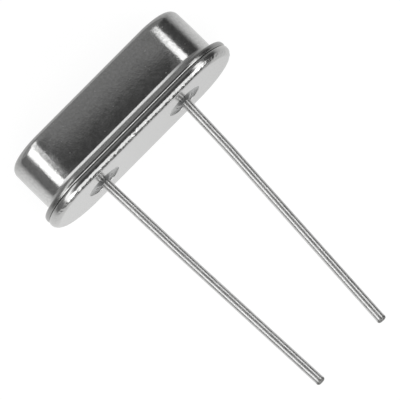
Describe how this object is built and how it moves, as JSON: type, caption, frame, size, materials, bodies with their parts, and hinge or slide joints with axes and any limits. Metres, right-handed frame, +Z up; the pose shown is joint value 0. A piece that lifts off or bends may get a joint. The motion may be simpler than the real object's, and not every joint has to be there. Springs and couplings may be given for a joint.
{
  "type": "quartz crystal oscillator",
  "caption": "Low-profile quartz crystal: a thin strip of quartz on spring clips in a sealed round-ended metal cover, with wire leads through glass seals.",
  "frame": {"origin": "on the surface it lies on, under the middle of the whole part's box", "axes": "+X along the base from the left lead to the right one, +Y along the part towards the cover's top, +Z up from the surface; the leads point to -Y and rise a little"},
  "size_m": [0.0108, 0.016, 0.005],
  "materials": {
    "cover": "drawn nickel silver, satin with a faint tumbled grain",
    "base": "nickel-plated steel, satin",
    "lead": "tinned wire, satin with fine drawing lines",
    "glass_seal": "dark sealing glass, glossy",
    "clip": "rolled spring strip, bright",
    "quartz": "lapped and etched quartz, frosted clear",
    "electrode": "evaporated silver, bright",
    "adhesive": "silver-filled epoxy, matt grey"
  },
  "bodies": {
    "root": {"cover": "cover", "base": "base", "lead_left": "lead", "lead_right": "lead", "glass_seal_left": "glass_seal", "glass_seal_right": "glass_seal", "spring_clip_left": "clip", "spring_clip_right": "clip", "quartz_blank": "quartz", "electrode_upper": "electrode", "electrode_lower": "electrode", "adhesive_left": "adhesive", "adhesive_right": "adhesive"}
  },
  "joints": []
}
